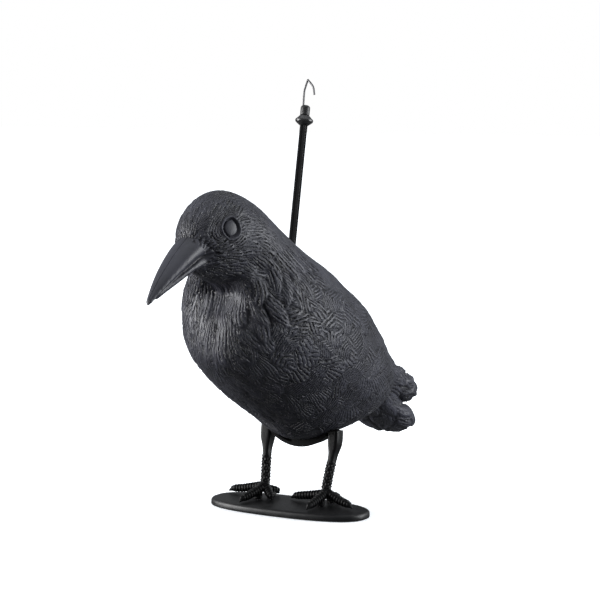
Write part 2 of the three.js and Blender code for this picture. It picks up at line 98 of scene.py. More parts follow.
def limbMesh(stations, sides, steps, side=(1, 0, 0)):  # stations: [x, y, z, half wide, half deep, power]
    table = np.array(stations, float)
    t = np.linspace(0, len(table) - 1, steps + 1)
    row = smoothAlong(table, t)
    ahead = unit(np.gradient(row[:, :3], axis=0))
    wide = np.array(side, float) - ahead * (ahead @ np.array(side, float))[:, None]
    wide = unit(wide)
    deep = np.cross(ahead, wide)
    turns = np.arange(sides) / sides * 2 * math.pi
    rings = []
    for j in range(len(t)):
        u, v = onOutline(turns, row[j, 3], row[j, 4], row[j, 5])
        rings.append(row[j, :3] + u[:, None] * wide[j] + v[:, None] * deep[j])
    return loftMesh(np.array(rings))


def boxMesh(low, high):
    x, y, z = zip(low, high)
    points = np.array([[x[i & 1], y[i >> 1 & 1], z[i >> 2]] for i in range(8)], float)
    return points, [[0, 2, 3, 1], [4, 5, 7, 6], [0, 1, 5, 4], [2, 6, 7, 3], [0, 4, 6, 2], [1, 3, 7, 5]]


def mirrorMesh(part):
    points, faces = part
    return points * (-1, 1, 1), [f[::-1] for f in faces]


def moved(part, spin=None, shift=(0, 0, 0)):
    points, faces = part
    if spin is not None:
        points = points @ np.array(spin).T
    return points + np.array(shift), faces


def makeObject(name, *parts):
    points, faces, start = [], [], 0
    for p, f in parts:
        points.append(p)
        faces += [[i + start for i in face] for face in f]
        start += len(p)
    mesh = bpy.data.meshes.new(name)
    mesh.from_pydata((np.vstack(points) * mm).tolist(), [], faces)
    obj = bpy.data.objects.new(name, mesh)
    bpy.context.scene.collection.objects.link(obj)
    tidy = bmesh.new()
    tidy.from_mesh(mesh)
    bmesh.ops.recalc_face_normals(tidy, faces=tidy.faces)
    tidy.to_mesh(mesh)
    tidy.free()
    return obj


def applyModifiers(obj):
    graph = bpy.context.evaluated_depsgraph_get()
    made = obj.evaluated_get(graph)
    mesh = bpy.data.meshes.new_from_object(made, preserve_all_data_layers=True, depsgraph=graph)
    obj.modifiers.clear()
    obj.data = mesh


def remesh(obj, size):
    change = obj.modifiers.new("remesh", "REMESH")
    change.mode = "VOXEL"
    change.voxel_size = size * mm
    applyModifiers(obj)


def boolean(obj, tool, operation="DIFFERENCE"):
    change = obj.modifiers.new("cut", "BOOLEAN")
    change.solver = "MANIFOLD"
    change.operation = operation
    change.object = tool
    applyModifiers(obj)
    bpy.data.objects.remove(tool)


def pointsOf(obj):
    flat = np.empty(len(obj.data.vertices) * 3)
    obj.data.vertices.foreach_get("co", flat)
    return flat.reshape(-1, 3) / mm


def setPoints(obj, points):
    obj.data.vertices.foreach_set("co", (points * mm).ravel())
    obj.data.update()


def normalsOf(obj):
    flat = np.empty(len(obj.data.vertices) * 3)
    obj.data.vertex_normals.foreach_get("vector", flat)
    return flat.reshape(-1, 3)


def edgesOf(obj):
    flat = np.empty(len(obj.data.edges) * 2, int)
    obj.data.edges.foreach_get("vertices", flat)
    return flat.reshape(-1, 2)


def relaxed(values, edges, rounds, strength, weight=1.0):  # each value drifts to its neighbours' mean
    values = np.array(values, float).reshape(len(values), -1)
    n = len(values)
    count = np.maximum(np.bincount(edges.ravel(), minlength=n), 1)[:, None]
    weight = np.reshape(weight, (-1, 1))
    first, second = edges.T
    for _ in range(rounds):
        total = np.stack([
            np.bincount(first, column[second], n) + np.bincount(second, column[first], n)
            for column in values.T
        ], 1)
        values += strength * weight * (total / count - values)
    return values


def setAttribute(obj, name, values):
    layer = obj.data.attributes.get(name) or obj.data.attributes.new(name, "FLOAT", "POINT")
    layer.data.foreach_set("value", np.asarray(values, np.float32))


def finishWith(obj, look, body, stoodFor, rise=standHigh):  # material, body and the piece's node
    obj.data.transform(Matrix.Translation((0, 0, rise * mm)))
    obj.data.materials.clear()
    obj.data.materials.append(look)
    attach(obj, body)
    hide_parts(stoodFor)


def shadeSmooth(obj, angle):
    obj.data.shade_smooth()
    obj.data.set_sharp_from_angle(angle=math.radians(angle))


# Helpers for materials
class Nodes:  # short calls that add and join shader nodes
    def __init__(self, name):
        self.material = bpy.data.materials.new(name)
        self.material.use_nodes = True
        self.tree = self.material.node_tree
        self.shader = self.tree.nodes["Principled BSDF"]

    def add(self, kind, **settings):
        node = self.tree.nodes.new(kind)
        for key, value in settings.items():
            setattr(node, key, value)
        return node

    def feed(self, node, key, value):
        if hasattr(value, "is_linked"):
            self.tree.links.new(value, node.inputs[key])
        else:
            node.inputs[key].default_value = value

    def math(self, operation, a, b=0.0, c=0.0, clamp=False):
        node = self.add("ShaderNodeMath", operation=operation, use_clamp=clamp)
        for key, value in enumerate((a, b, c)):
            self.feed(node, key, value)
        return node.outputs[0]

    def noise(self, scale, detail=4.0, roughness=0.55, stretch=None):
        node = self.add("ShaderNodeTexNoise")
        place = self.add("ShaderNodeTexCoord").outputs["Object"]
        if stretch:
            fit = self.add("ShaderNodeMapping")
            fit.inputs["Scale"].default_value = stretch
            self.feed(fit, "Vector", place)
            place = fit.outputs[0]
        self.feed(node, "Vector", place)
        self.feed(node, "Scale", scale)
        self.feed(node, "Detail", detail)
        self.feed(node, "Roughness", roughness)
        return node.outputs["Fac"]

    def attribute(self, name):
        return self.add("ShaderNodeAttribute", attribute_name=name).outputs["Fac"]

    def spread(self, value, low, high, toLow=0.0, toHigh=1.0):
        node = self.add("ShaderNodeMapRange")
        keys = ("Value", "From Min", "From Max", "To Min", "To Max")
        for key, item in zip(keys, (value, low, high, toLow, toHigh)):
            self.feed(node, key, item)
        return node.outputs["Result"]

    def mixColour(self, share, first, second):
        node = self.add("ShaderNodeMix", data_type="RGBA")
        self.feed(node, 0, share)
        self.feed(node, 6, first if hasattr(first, "is_linked") else (*first, 1))
        self.feed(node, 7, second if hasattr(second, "is_linked") else (*second, 1))
        return node.outputs[2]

    def bump(self, height, distance, strength=1.0, under=None):
        node = self.add("ShaderNodeBump")
        node.inputs["Distance"].default_value = distance
        node.inputs["Strength"].default_value = strength
        self.feed(node, "Height", height)
        if under:
            self.feed(node, "Normal", under)
        return node.outputs[0]


def featheredPlastic():
    look = {
        "dark": (0.0085, 0.0087, 0.0125),
        "pale": (0.046, 0.0472, 0.064),
        "rough": 0.47,
        "strokeHigh": 0.0024,
        "grainHigh": 0.00006,
    }
    n = Nodes("featheredBlackPlastic")
    drift = n.noise(420, 2.0)
    phase = n.math("ADD", n.attribute("strokePhase"), n.math("MULTIPLY", drift, 0.9))
    wave = n.math("SINE", n.math("MULTIPLY", phase, 2 * math.pi))
    ridge = n.spread(wave, -0.75, 0.35)
    depth = n.attribute("strokeDepth")
    broken = n.spread(n.noise(260, 3.0), 0.36, 0.62, 0.3, 1.0)
    broken = n.math("MULTIPLY", broken, n.spread(n.noise(48, 2.0), 0.35, 0.65, 0.5, 1.25))
    cut = n.math("MULTIPLY", n.math("MULTIPLY", n.math("SUBTRACT", 1.0, ridge), depth), broken)
    mottle = n.noise(70, 5.0)
    grain = n.noise(2600, 3.0, 0.7)
    scuff = n.spread(n.noise(900, 4.0, 0.7), 0.56, 0.74)
    tone = n.spread(mottle, 0.3, 0.7, 0.28, 0.72)
    tone = n.math("ADD", tone, n.math("MULTIPLY", n.attribute("featherTone"), 0.22))
    # raised parts are lighter as wear, while hollows, feather edges, the mouth line, the seam and the eye are
    # darker as painted shade
    tone = n.math("ADD", tone, n.math("MULTIPLY", n.attribute("raisedWearAndShade"), 0.5))
    # the stroke grooves are also painted darker here: painted shade in the grooves, on top of their bump
    tone = n.math("SUBTRACT", tone, n.math("MULTIPLY", cut, 0.9), clamp=True)
    colour = n.mixColour(tone, look["dark"], look["pale"])
    colour = n.mixColour(n.math("MULTIPLY", scuff, 0.25), colour, (0.06, 0.061, 0.066))
    n.feed(n.shader, "Base Color", colour)
    n.feed(n.shader, "Roughness", n.math("ADD", look["rough"] - 0.08, n.math("MULTIPLY", mottle, 0.2)))
    n.shader.inputs["Specular IOR Level"].default_value = 0.5
    under = n.bump(grain, look["grainHigh"])
    n.feed(n.shader, "Normal", n.bump(n.math("SUBTRACT", 1.0, cut), look["strokeHigh"], under=under))
    return n.material


def mouldedPlastic(name, dark, pale, rough, grainHigh=0.00006, grainScale=2200, shine=0.5, dusty=None):
    n = Nodes(name)
    n.shader.inputs["Specular IOR Level"].default_value = shine
    mottle = n.noise(90, 5.0)
    grain = n.noise(grainScale, 3.0, 0.65)
    scratch = n.noise(500, 2.0, 0.6, (1.0, 1.0, 0.08))
    colour = n.mixColour(n.spread(mottle, 0.3, 0.7), dark, pale)
    if dusty:  # paler above this height
        split = n.add("ShaderNodeSeparateXYZ")
        n.feed(split, 0, n.add("ShaderNodeTexCoord").outputs["Object"])
        above = n.spread(split.outputs["Z"], dusty - 0.001, dusty + 0.001)
        colour = n.mixColour(above, colour, (0.026, 0.026, 0.027))
    n.feed(n.shader, "Base Color", colour)
    wear = n.math("MULTIPLY", n.spread(scratch, 0.6, 0.75), 0.12)
    rough = n.math("ADD", rough - 0.06, n.math("MULTIPLY", mottle, 0.14))
    n.feed(n.shader, "Roughness", n.math("ADD", rough, wear))
    n.feed(n.shader, "Normal", n.bump(grain, grainHigh))
    return n.material


def steel(name, colour, rough):
    n = Nodes(name)
    n.shader.inputs["Metallic"].default_value = 1.0
    tarnish = n.noise(700, 4.0, 0.6)
    dull = tuple(c * 0.5 for c in colour)
    n.feed(n.shader, "Base Color", n.mixColour(n.spread(tarnish, 0.35, 0.7), colour, dull))
    n.feed(n.shader, "Roughness", n.math("ADD", rough - 0.05, n.math("MULTIPLY", tarnish, 0.25)))
    n.feed(n.shader, "Normal", n.bump(n.noise(4000, 2.0, 0.6, (1.0, 1.0, 0.1)), 0.00002))
    return n.material


plastics = {
    "leg": {"dark": (0.0025, 0.0025, 0.003), "pale": (0.007, 0.007, 0.0075), "rough": 0.36,
            "grainHigh": 0.0001, "shine": 0.17},
    "plate": {"dark": (0.004, 0.004, 0.0045), "pale": (0.012, 0.012, 0.013), "rough": 0.42,
              "grainHigh": 0.00008, "shine": 0.4},
    "rod": {"dark": (0.003, 0.003, 0.0033), "pale": (0.008, 0.008, 0.009), "rough": 0.24,
            "grainHigh": 0.00003, "shine": 0.6, "dusty": 0.2705},
    "cap": {"dark": (0.01, 0.01, 0.0105), "pale": (0.024, 0.024, 0.025), "rough": 0.42,
            "grainHigh": 0.00008},
    "cradle": {"dark": (0.002, 0.002, 0.0022), "pale": (0.005, 0.005, 0.0055), "rough": 0.5, "shine": 0.08},
    "guide": {"dark": (0.02, 0.02, 0.022), "pale": (0.04, 0.04, 0.042), "rough": 0.55},
}
bodyLook = featheredPlastic()
legLook = mouldedPlastic("blackLegPlastic", **plastics["leg"])
plateLook = mouldedPlastic("blackPlatePlastic", **plastics["plate"])
rodLook = mouldedPlastic("glossyRodPlastic", **plastics["rod"])
capLook = mouldedPlastic("capPlastic", **plastics["cap"])
cradleLook = mouldedPlastic("blackCradlePlastic", **plastics["cradle"])
guideLook = mouldedPlastic("innerGuidePlastic", **plastics["guide"])
wireLook = steel("darkHookWire", (0.16, 0.16, 0.165), 0.4)
screwLook = steel("screwSteel", (0.5, 0.51, 0.52), 0.3)
print("materials made")

# The bird's skin
bird = {
    "voxel": 0.94,
    "wall": 2.2,
    "seam": 0.3,
    # crest and keel forward and up, half width, how pointed the keel side is
    "stations": [
        [130, 203, 121, 177, 9, 0], [124, 212, 108, 172, 18, 0], [111, 223, 97, 168, 24, 0.1],
        [92, 229, 90, 164, 27.5, 0.2], [71, 223, 87.5, 159, 31, 0.3], [50, 210, 91, 152, 35, 0.3],
        [29, 196, 97.5, 141, 42, 0.3], [8, 184, 98.5, 129, 48, 0.3], [-15, 173, 93, 113, 53, 0.2],
        [-38, 158, 76, 99, 56, 0.1], [-60, 143, 51.5, 82.5, 57, 0], [-82, 124, 22, 65, 55, 0.15],
        [-101, 106, -7, 48, 49, 0.45], [-116, 89, -43, 52, 36, 0.5], [-128, 75, -77, 63, 25, 0.2],
        [-139, 63, -112, 50, 22, 0], [-152, 55, -138, 36, 23, 0], [-163, 48, -155, 31, 19, 0],
        [-171, 41, -168, 33, 9, 0],
    ],
    # left, forward, up, half thickness, half height, along the folded wing
    "wing": [
        [33, 20, 148, 8, 12], [38, -5, 137, 11, 19], [36.5, -32, 120.5, 11, 20], [29.5, -62, 104, 10.5, 17],
        [23.5, -90, 90, 9, 14], [19, -113, 80, 9, 11.5], [16.5, -134, 72.5, 10, 10.5],
        [13.5, -151, 66, 9.5, 9.5], [11.5, -163, 61, 6, 6.5],
    ],
    # left, forward, up, half thickness, half depth of the full neck beside the throat's valley
    "neckSide": [[13, 90, 184, 7, 7], [17, 85, 172, 10, 10], [22, 78, 158, 12, 10.5], [27, 72, 142, 11, 9.5],
                 [30, 64, 126, 8, 8]],
    # each edge of the beak forward and up, then the half widths
    "upperBeak": ([[108, 209], [132, 200], [156, 183.5], [176, 165]],
                  [[112, 188], [133, 184], [156, 173.5], [177, 160.5]], [12, 11, 7.5, 2.0]),
    "lowerBeak": ([[106, 192], [128, 188], [150, 178.5], [168.5, 166.5]],
                  [[104, 181], [130, 178.5], [150, 171], [167.5, 163.5]], [10, 9.2, 6, 1.5]),
    "mouth": [[118.5, 190.5], [126, 188], [133, 185], [145, 179.5], [156, 174], [166, 168.5]],
    "eye": [19.8, 109.5, 206],
    "eyeHalf": [6.0, 7.0],
}
stations = np.array(bird["stations"], float)


def birdPoint(t, turn, grow=0.0):
    row = smoothAlong(stations, t)
    centre = (row[..., 0:2] + row[..., 2:4]) / 2
    up = (row[..., 0:2] - row[..., 2:4]) / 2
    reach = np.linalg.norm(up, axis=-1, keepdims=True)
    up = up / reach * (reach + grow)
    rise = np.cos(turn)
    low = np.maximum(0, -rise)
    across = (row[..., 4] + grow) * np.sin(turn) * (1 - 0.6 * row[..., 5] * low * low)
    flat = centre + up * rise[..., None]
    return np.stack([across, -flat[..., 0], flat[..., 1]], -1)


def birdLoft(grow, start, stop, steps, sides):
    t = np.linspace(start, stop, steps + 1)[:, None] * np.ones(sides)
    turn = np.ones((steps + 1, 1)) * np.arange(sides) / sides * 2 * math.pi
    return loftMesh(birdPoint(t, turn, grow))


def wingStations(inset=0.0, start=0, stop=None):
    rows = bird["wing"][start:stop]
    return [[x, -f, z, out - inset, tall - inset, 2.2] for x, f, z, out, tall in rows]


def beakLoft(top, bottom, half):
    t = np.linspace(0, len(top) - 1, 40)
    high, low, wide = smoothAlong(top, t), smoothAlong(bottom, t), smoothAlong(half, t)
    turns = np.arange(48) / 48 * 2 * math.pi
    centre, up = (high + low) / 2, (high - low) / 2
    flat = centre[:, None] + up[:, None] * np.cos(turns)[None, :, None]
    return loftMesh(np.stack([wide[:, None] * np.sin(turns), -flat[..., 0], flat[..., 1]], -1))


wingMesh = limbMesh(wingStations(), 72, 160)
neckMesh = limbMesh([[x, -f, z, out, deep, 2] for x, f, z, out, deep in bird["neckSide"]], 48, 60)
body = makeObject("body", birdLoft(0, 0, len(stations) - 1, 260, 160), wingMesh, mirrorMesh(wingMesh),
                  neckMesh, mirrorMesh(neckMesh),
                  beakLoft(*bird["upperBeak"]), beakLoft(*bird["lowerBeak"]))
remesh(body, bird["voxel"])
print("body remeshed:", len(body.data.polygons), "faces")


def refine(obj, chosen):  # one more level of faces where chosen says so
    work = bmesh.new()
    work.from_mesh(obj.data)
    work.verts.ensure_lookup_table()
    edges = [e for e in work.edges if chosen[e.verts[0].index] and chosen[e.verts[1].index]]
    bmesh.ops.subdivide_edges(work, edges=edges, cuts=1, use_grid_fill=True)
    work.to_mesh(obj.data)
    work.free()


eyeAt = np.array([bird["eye"][0], -bird["eye"][1], bird["eye"][2]])
spots = pointsOf(body)
nearEye = np.linalg.norm(spots - eyeAt, axis=1) < 13
nearEye |= np.linalg.norm(spots * (-1, 1, 1) - eyeAt, axis=1) < 13
nearBeak = -spots[:, 1] > 116
setPoints(body, relaxed(spots, edgesOf(body), 3, 0.5))
refine(body, nearEye | nearBeak)
points = pointsOf(body)
edges = edgesOf(body)
forward, up = -points[:, 1], points[:, 2]
firm = 1 - 0.8 * ease((forward - 125) / 10)
for strength in (0.5, -0.52, 0.5, -0.52, 0.5, 0.5):
    points = relaxed(points, edges, 1, strength, firm)
melt = ease((95 + forward) / 25) * ease((60 - forward) / 30) * ease((up - 60) / 20)
chin = ease((forward - 45) / 20) * ease((up - 130) / 14) * ease((178 - up) / 14)
chin *= ease((np.abs(points[:, 0]) - 6) / 10) * (1 - ease((forward - 108) / 8))
mouthSide = 0.8 * ease((forward - 117) / 6) * (1 - ease((forward - 158) / 8))
# the wing's edge melts into the side and the chin into the neck
points = relaxed(points, edges, 90, 0.6, np.maximum(melt, chin))
points = relaxed(points, edges, 24, 0.6, mouthSide)
valley = np.exp(-((points[:, 0] / 8) ** 2)) * ease((up - 112) / 25) * ease((176 - up) / 10)
valley *= ease((forward - 70) / 12) * (1 - ease((forward - 104) / 6))
points[:, 1] += 2.0 * valley
setPoints(body, points)
normals = normalsOf(body)
print("body refined:", len(points), "points")

# Feathers: each one is painted on the skin, the rear ones first, so that they lap like shingles
sampleTurn = np.arange(120) / 120 * 2 * math.pi
sampleStep = np.linspace(0, len(stations) - 1, 260)
grid = birdPoint(sampleStep[:, None] * np.ones(120), np.ones((260, 1)) * sampleTurn)
gridFlow = unit(np.gradient(grid, axis=0))
wingRings = limbMesh(wingStations(), 60, 200)[0][:-2].reshape(201, 60, 3)
wingFlow = unit(np.gradient(wingRings, axis=0))


def bothSides(onBody, onWing):  # the body's rows, then the left wing's, then the right wing's
    onBody, onWing = onBody.reshape(-1, 3), onWing.reshape(-1, 3)
    return np.vstack([onBody, onWing, onWing * (-1, 1, 1)])


sampleAt = bothSides(grid, wingRings)
sampleFlow = bothSides(gridFlow, wingFlow)
bodySide = np.abs((sampleTurn + math.pi) % (2 * math.pi) - math.pi) / math.pi  # 0 at the crest, 1 at the keel
sampleAlong = np.concatenate([np.repeat(sampleStep, 120), *[np.repeat(np.linspace(0, 8, 201), 60)] * 2])
sampleSide = np.concatenate([np.tile(bodySide, 260), np.full(2 * 201 * 60, -1.0)])
sampleTree = KDTree(len(sampleAt))
for i, p in enumerate(sampleAt):
    sampleTree.insert(p, i)
sampleTree.balance()

# length, half width, stroke spacing, stroke angle low and high, stroke depth, lift of the tip, share fanned
feathers = {
    "crown": (15, 3.6, 1.9, 4, 20, 1.0, 0.28, 0.8),
    "cheek": (18, 4.4, 2.0, 4, 22, 1.25, 0.45, 0.8),
    "nape": (13, 4.2, 1.9, 8, 25, 0.4, 0.15, 0.6),
    "neck": (32, 5.2, 2.1, 8, 35, 1.25, 1.0, 0.7),
    "throat": (26, 5.0, 2.1, 3, 14, 0.8, 0.4, 0.8),
    "shoulder": (25, 7.5, 2.2, 25, 70, 1.1, 0.7, 0.35),
    "breast": (30, 5.2, 2.1, 3, 16, 1.0, 0.5, 0.8),
    "flank": (24, 9.5, 2.1, 35, 85, 0.95, 0.5, 0.25),
    "back": (22, 7.0, 2.2, 6, 25, 0.3, 0.25, 0.6),
    "rump": (24, 7.0, 2.2, 10, 40, 0.45, 0.4, 0.6),
    "tail": (56, 5.0, 2.8, 1, 4, 0.35, 1.0, 0),
    "covert": (22, 6.5, 2.1, 10, 40, 0.8, 0.5, 0.5),
    "streak": (40, 4.8, 2.3, 2, 10, 0.8, 0.7, 0.3),
    "wingTip": (56, 3.6, 2.8, 1, 4, 0.7, 1.4, 0),
}


def featherKind(along, side):
    if side < 0:
        return "covert" if along < 2.6 else "streak" if along < 5.2 else "wingTip"
    if along > 14:
        return "tail"
    if 2.7 < along < 5.2 and side < 0.46:
        return "nape"
    if along < 4.2:
        return "crown" if side < 0.3 else "cheek" if side < 0.86 else "throat"
    if along < 6.6:
        return "nape" if side < 0.33 else "neck" if side < 0.86 else "throat"
    if side < 0.34:
        return "back" if along < 12 else "rump"
    if side > 0.8:
        return "breast" if along < 10.5 else "flank"
    return "shoulder" if along < 9.3 else "flank" if along < 13 else "rump"


pointTree = KDTree(len(points))
for i, p in enumerate(points):
    pointTree.insert(p, i)
pointTree.balance()

seeds = []
taken = np.zeros((0, 3))
takenReach = np.zeros(0)
for i in chance.permutation(len(points))[:26000]:
    _, j, away = sampleTree.find(points[i])
    if away > 8:
        continue
    kind = featherKind(sampleAlong[j], sampleSide[j])
    long, half = feathers[kind][:2]
    reach = 0.56 * math.sqrt(long * half)
    if len(taken) and (np.linalg.norm(taken - points[i], axis=1) < (takenReach + reach) / 2 * 1.25).any():
        continue
    taken = np.vstack([taken, points[i]])
    takenReach = np.append(takenReach, reach)
    order = sampleAlong[j] if sampleSide[j] >= 0 else 6.5 + 1.3 * sampleAlong[j]
    seeds.append((order + chance.normal(0, 0.12), i, j, kind))
seeds.sort(reverse=True)

relief = np.zeros(len(points))
phase = np.zeros(len(points))
depth = np.zeros(len(points))
tone = np.full(len(points), 0.5)
for _, i, j, kind in seeds:
    long, half, gap, angleLow, angleHigh, cut, lift, fanned = feathers[kind]
    long *= chance.uniform(0.85, 1.2)
    half *= chance.uniform(0.85, 1.2)
    out = normals[i]
    flow = unit(sampleFlow[j] - out * (sampleFlow[j] @ out))
    swing = chance.normal(0, 0.16)
    across = np.cross(out, flow)
    flow = flow * math.cos(swing) + across * math.sin(swing)
    across = np.cross(out, flow)
    found = np.array([f[1] for f in pointTree.find_range(points[i], long / 2 + 3)])
    offset = points[found] - points[i]
    facing = normals[found] @ out > 0.15
    found, offset = found[facing], offset[facing]
    u, v = offset @ flow, offset @ across
    v = v + chance.normal(0, 0.010) * u * u  # a slight bend
    edge = (np.abs(2 * u / long) ** 2.3 + np.abs(v / half) ** 2.3) ** (1 / 2.3)
    inward = (1 - edge) * half
    inside, beside = inward > 0, (inward <= 0) & (inward > -1.6)
    angle = math.radians(chance.uniform(angleLow, angleHigh))
    mirror = np.abs(v) if chance.random() < 0.7 else v
    gap *= chance.uniform(0.8, 1.45)
    lines = (mirror * math.cos(angle) - u * math.sin(angle)) / gap + chance.random()
    if chance.random() < fanned:  # strokes that spread from the feather's root
        root = long * chance.uniform(0.7, 1.1)
        lines = np.arctan2(v, u + root) * root / gap * 1.15 + chance.random()
    cut = cut * chance.uniform(0.75, 1.15)
    take = found[inside]
    phase[take] = lines[inside]
    depth[take] = cut * ease(inward[inside] / 1.1)
    shaft = np.exp(-((v[inside] / 0.7) ** 2)) * 0.5 * lift
    relief[take] = lift * (0.55 + u[inside] / long) * ease(inward[inside] / 0.9) + shaft
    tone[take] = chance.random()
    near = found[beside]
    depth[near] *= ease(-inward[beside] / 1.1)
    relief[near] -= 0.75 * lift * np.exp(-((inward[beside] / 0.9) ** 2))
print("feathers painted:", len(seeds))

# The beak, mouth and eyes
# The feathers stop at a line from the top of the beak to the mouth's corner, and from there to the chin.
bareAbove = (forward - 119) * 0.69 - (up - 190) * 0.72
bareBelow = (forward - 119) * 0.84 + (up - 190) * 0.54
bare = ease(np.where(up > 190, bareAbove, bareBelow) / 1.6 + 0.5) * (forward > 112)
relief *= 1 - bare
depth *= 1 - bare
relief -= 0.45 * np.exp(-((bare - 0.5) / 0.35) ** 2) * (forward > 112) * (np.abs(points[:, 0]) > 0)

mouth = smoothAlong(bird["mouth"], np.linspace(0, len(bird["mouth"]) - 1, 90))
flat = np.stack([forward, up], 1)
chosen = np.nonzero((forward > 112) & (np.abs(normals[:, 0]) > 0.25))[0]
gapTo = np.full(len(points), 99.0)
gapTo[chosen] = np.linalg.norm(flat[chosen][:, None] - mouth[None], axis=2).min(1)
relief -= 1.25 * np.exp(-((gapTo / 0.7) ** 2))

# short bristle grooves over the root of the beak
for k in range(6):
    start = np.array([125.3 + 1.9 * k, 190.6 + 1.75 * k])
    stretch = np.array([0.62, -0.78]) * -1
    rel = flat - start
    alongTick = rel @ stretch
    offTick = rel @ np.array([-stretch[1], stretch[0]])
    tick = np.exp(-((offTick / 0.42) ** 2)) * ease((alongTick + 0.3) / 0.8) * ease((6.5 - alongTick) / 1.5)
    relief -= 1.0 * tick * (np.abs(normals[:, 0]) > 0.3) * (forward > 112)

eyeLong, eyeTall = bird["eyeHalf"]
shade = np.zeros(len(points))
for sign in (1, -1):
    centre = eyeAt * (sign, 1, 1)
    _, i, _ = pointTree.find(centre)
    out = unit(relaxed(normals, edges, 12, 0.5)[i])
    lid = unit(np.cross(out, (0, 0.94, -0.34)))
    if lid[2] < 0:
        lid = -lid
    fore = np.cross(lid, out)
    offset = points - points[i]
    a, b, away = offset @ fore, offset @ lid, offset @ out
    b = b + 0.018 * a * a
    # between an ellipse and a pointed almond
    r = 0.62 * np.sqrt((a / eyeLong) ** 2 + (b / eyeTall) ** 2)
    r += 0.38 * ((b / eyeTall) ** 2 + np.abs(a) / eyeLong)
    close = (np.abs(away) < 9) & (r < 2.2) & (normals @ out > 0)
    calm = close * (1 - ease((r - 1.15) / 0.45))
    relief *= 1 - calm
    depth *= 1 - calm
    ball = 1.1 * np.sqrt(np.maximum(0, 1 - (r / 0.86) ** 2)) - 1.1
    trench = -1.6 * np.exp(-(((r - 0.91) / 0.11) ** 2))
    rim = (0.75 if sign > 0 else 0.4) * np.exp(-(((r - 1.16) / 0.11) ** 2))
    relief += close * np.where(r < 0.86, ball, 0) + close * (trench * (r >= 0.8) + rim)
    # the eyeball and its trench are painted darker: painted shade
    shade[close & (r < 1.0)] = -0.35
    # strokes that curve round the front and top of the eye
    brow = (np.abs(away) < 9) & (normals @ out > 0.1) & (r > 1.38) & (r < 2.7)
    brow &= offset @ (0, -0.75, 0.66) > 1
    phase[brow] = (r * 6.2 + 0.9 * np.sin(3 * np.arctan2(b, a)))[brow] / 1.9
    depth[brow] = 1.2 * ease((2.7 - r[brow]) / 0.3) * ease((r[brow] - 1.38) / 0.1)
relief = relaxed(relief, edges, 1, 0.35)[:, 0]
seamGap = np.abs(points[:, 0])
relief -= 0.35 * np.exp(-((seamGap / 0.7) ** 2)) * (1 - bare)
depth *= ease((seamGap - 0.3) / 1.0)
setPoints(body, points + normals * relief[:, None])
setAttribute(body, "strokePhase", phase)
setAttribute(body, "strokeDepth", depth)
setAttribute(body, "featherTone", tone)
# the relief also tints the colour: lighter on raised tips as wear, darker in hollows and on the eye as
# painted shade
setAttribute(body, "raisedWearAndShade", np.clip(relief, -0.6, 0.6) * (shade == 0) + shade)
print("face and seam carved")

# The rod's line
rod = {
    "lean": 11.3, "back": -33.5, "foot": 88, "across": 5.4, "rib": 1.8, "collarAt": 277.5, "collar": 12.6,
    "collarHigh": 7, "neck": 2.6, "neckHead": 4, "neckHeadHigh": 1.2, "gap": 0.35,
    "cap": 6.7, "capHigh": 7.2, "capSolid": 3.6, "wire": 1.4, "wireOffset": 1.9, "wireDepth": 2.6,
    "hookHigh": 18, "hookMouth": 8,
}
leanTurn = math.radians(-rod["lean"])
rodSpin = np.array([
    [1, 0, 0],
    [0, math.cos(leanTurn), -math.sin(leanTurn)],
    [0, math.sin(leanTurn), math.cos(leanTurn)],
])


def onRod(part):
    return moved(part, rodSpin, (0, rod["back"], 0))


def pinMesh(across, low, high, sides=40):
    return turnedMesh([[0, low], [across / 2, low], [across / 2, high], [0, high]], sides)


# Hollow halves
hips = {"spacing": 55, "back": 18, "high": 55, "wide": 8, "deep": 10}
guide = {"wall": 1.9, "floor": 3, "top": 178, "rib": 3, "ribWide": 15}
bore = rod["across"] + 2 * rod["gap"]
sleeve = bore + 2 * guide["wall"]
guideLow = rod["foot"] - rod["gap"] - guide["floor"]
hollow = makeObject("hollow", birdLoft(-bird["wall"] - 0.3, 1.4, 15.4, 90, 64))
wingRoom = limbMesh(wingStations(bird["wall"] + 0.3, 1, 8), 32, 40)
boolean(hollow, makeObject("wingRoomLeft", wingRoom), "UNION")
boolean(hollow, makeObject("wingRoomRight", mirrorMesh(wingRoom)), "UNION")
for along in (guideLow + 12, guide["top"] - 22):
    slab = boxMesh((-70, -guide["ribWide"] / 2, along - guide["rib"] / 2),
                   (70, guide["ribWide"] / 2, along + guide["rib"] / 2))
    boolean(hollow, makeObject("ribSlab", onRod(slab)))
boolean(hollow, makeObject("throatBlock", boxMesh((-32, -95, 143), (32, -81, 171))))
boolean(hollow, makeObject("valleyBlock", boxMesh((-19, -110, 104), (19, -76, 152))))
boolean(body, hollow)
boolean(body, makeObject("guideRoom", onRod(pinMesh(sleeve + 0.7, guideLow - 0.35, guide["top"] + 0.35))))
boolean(body, makeObject("rodRoom", onRod(pinMesh(bore, guide["top"] - 5, guide["top"] + 40))))
hipRoom = limbMesh([
    [hips["spacing"] / 2, hips["back"] - 0.6 * i, z, hips["wide"] / 2 + 0.35, hips["deep"] / 2 + 0.35, 5]
    for i, z in enumerate((hips["high"] + 0.35, hips["high"] - 5, hips["high"] - 12))
], 48, 6)
boolean(body, makeObject("hipRoomLeft", hipRoom))
boolean(body, makeObject("hipRoomRight", mirrorMesh(hipRoom)))
print("body hollowed:", len(body.data.polygons), "faces")

halfSeam = bird["seam"] / 2
for name, low, high in (("shellLeft", halfSeam, 80), ("shellRight", -80, -halfSeam)):
    half = body.copy()
    half.data = body.data.copy()
    half.name = name
    bpy.context.scene.collection.objects.link(half)
    boolean(half, makeObject("halfRoom", boxMesh((low, -240, 0), (high, 240, 320))), "INTERSECT")
    shadeSmooth(half, 55)
    finishWith(half, bodyLook, "decoy", "shell_left" if low > 0 else "shell_right")
    print(name, len(half.data.polygons), "faces")
bpy.data.objects.remove(body)

